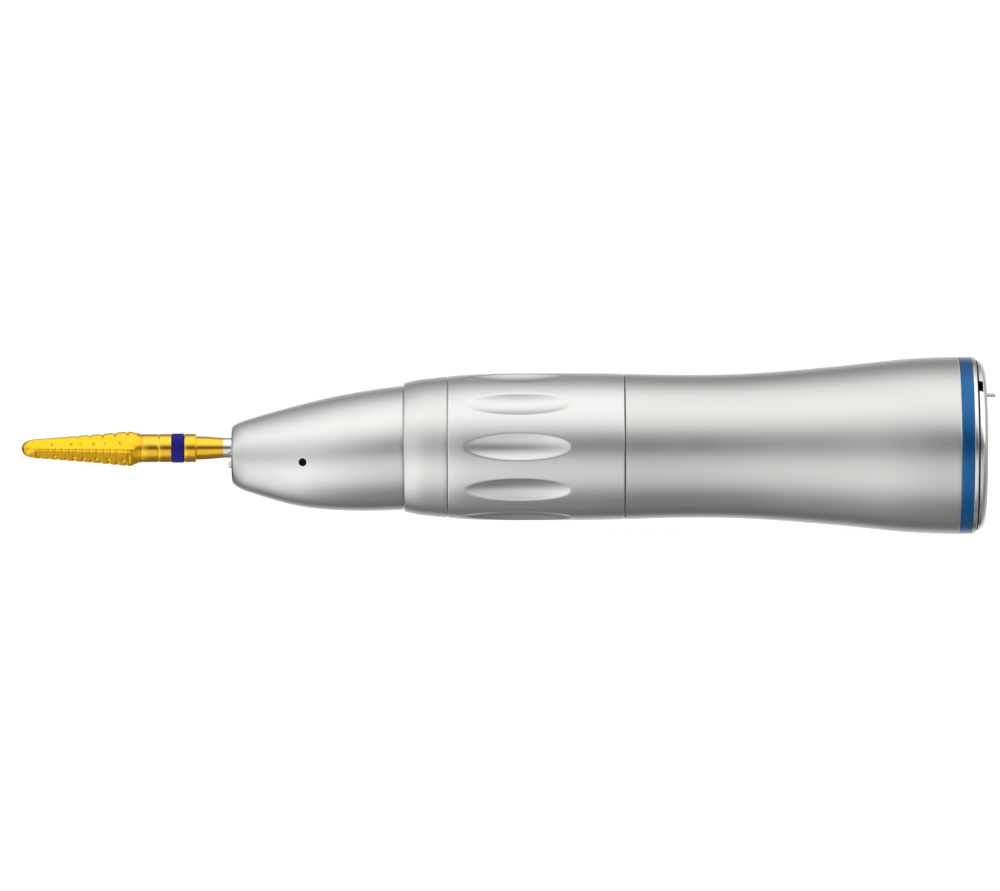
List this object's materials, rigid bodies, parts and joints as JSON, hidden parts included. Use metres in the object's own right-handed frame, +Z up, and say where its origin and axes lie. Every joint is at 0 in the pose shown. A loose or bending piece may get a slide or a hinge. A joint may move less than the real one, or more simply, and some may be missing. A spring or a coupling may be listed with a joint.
{
  "type": "straight dental handpiece",
  "caption": "Straight dental handpiece with a nose cone, a twist ring that opens the chuck, a coloured ratio band and a tapered gold cutter.",
  "frame": {"origin": "on the spindle axis in the plane of the motor-end face", "axes": "+X along the spindle from the cutter to the motor, +Z up, away from the side of the nose that bellies out"},
  "size_m": [0.113, 0.0206, 0.0206],
  "materials": {
    "titanium": "satin titanium",
    "steel": "machined",
    "spring_steel": "drawn",
    "polished_steel": "polished",
    "gold_carbide": "nitride coating",
    "gold_shank": "nitride coating at the front, polished behind",
    "navy_band": "enamel",
    "blue_band": "enamel",
    "black_enamel": "enamel",
    "rubber": "matte",
    "polymer": "matte",
    "glass_rod": "clear"
  },
  "bodies": {
    "housing": {"nose_cone": "titanium", "index_dot": "black_enamel", "spray_nozzle": "polished_steel", "light_guide": "glass_rod", "water_tube": "steel", "nose_o_ring": "rubber", "front_collar": "titanium", "front_housing": "steel", "front_bearing_nut": "steel", "bearing_outer_spacer": "steel", "preload_wave_spring": "spring_steel", "centre_frame": "steel", "front_slide_washer": "polymer", "rear_slide_washer": "polymer", "detent_ball": "polished_steel", "detent_spring": "spring_steel", "rear_bulkhead": "steel", "sheath_o_ring": "rubber", "bearing_circlip": "spring_steel", "shaft_seal": "rubber", "coupling_sleeve": "steel", "lock_spring": "spring_steel", "water_fitting": "steel", "rear_sheath": "titanium", "ratio_band": "blue_band", "end_ring": "polished_steel", "end_flange": "polished_steel", "alignment_pin": "polished_steel", "front_bearing_a_outer_race": "polished_steel", "front_bearing_b_outer_race": "polished_steel", "rear_bearing_outer_race": "polished_steel"},
    "spindle": {"spindle": "steel", "bearing_inner_spacer": "steel", "spindle_nut": "steel", "drive_dog": "steel", "chuck_spring": "spring_steel", "front_bearing_a_inner_race": "polished_steel", "front_bearing_b_inner_race": "polished_steel", "rear_bearing_inner_race": "polished_steel"},
    "ball_cages": {"front_bearing_a_balls": "polished_steel", "front_bearing_b_balls": "polished_steel", "rear_bearing_balls": "polished_steel"},
    "twist_ring": {"twist_ring": "titanium", "cam_ring": "steel"},
    "shift_ring": {"shift_ring": "steel", "cam_pin_a": "polished_steel", "cam_pin_b": "polished_steel"},
    "chuck": {"collet": "steel", "draw_bar": "steel", "draw_bar_nut": "steel", "pusher_collar": "steel", "cross_pin": "polished_steel"},
    "cutter": {"cutter_head": "gold_carbide", "cutter_shank": "gold_shank", "cutter_band": "navy_band"}
  },
  "joints": [
    {"name": "spindle_spin", "type": "hinge", "parent": "housing", "child": "spindle", "pos_m": [-0.06, 0, 0], "axis": [1, 0, 0], "continuous": true},
    {"name": "bearing_cage_spin", "type": "hinge", "parent": "housing", "child": "ball_cages", "pos_m": [-0.0725, 0, 0], "axis": [1, 0, 0], "continuous": true},
    {"name": "chuck_ring_twist", "type": "hinge", "parent": "housing", "child": "twist_ring", "pos_m": [-0.0522, 0, 0], "axis": [1, 0, 0], "range_deg": [0, 45]},
    {"name": "cam_slide", "type": "slide", "parent": "housing", "child": "shift_ring", "axis": [-1, 0, 0], "range_m": [0, 0.00091]},
    {"name": "collet_slide", "type": "slide", "parent": "spindle", "child": "chuck", "axis": [-1, 0, 0], "range_m": [0, 0.00061], "deforming": ["chuck_spring"]},
    {"name": "cutter_pull_out", "type": "slide", "parent": "chuck", "child": "cutter", "axis": [-1, 0, 0], "range_m": [0, 0.0205]}
  ],
  "couplings": [
    {"joint": "bearing_cage_spin", "follows": "spindle_spin", "ratio": 0.423},
    {"joint": "cam_slide", "follows": "chuck_ring_twist", "m_per_rad": 0.0011459},
    {"joint": "collet_slide", "follows": "chuck_ring_twist", "m_per_rad": 0.0007639}
  ]
}
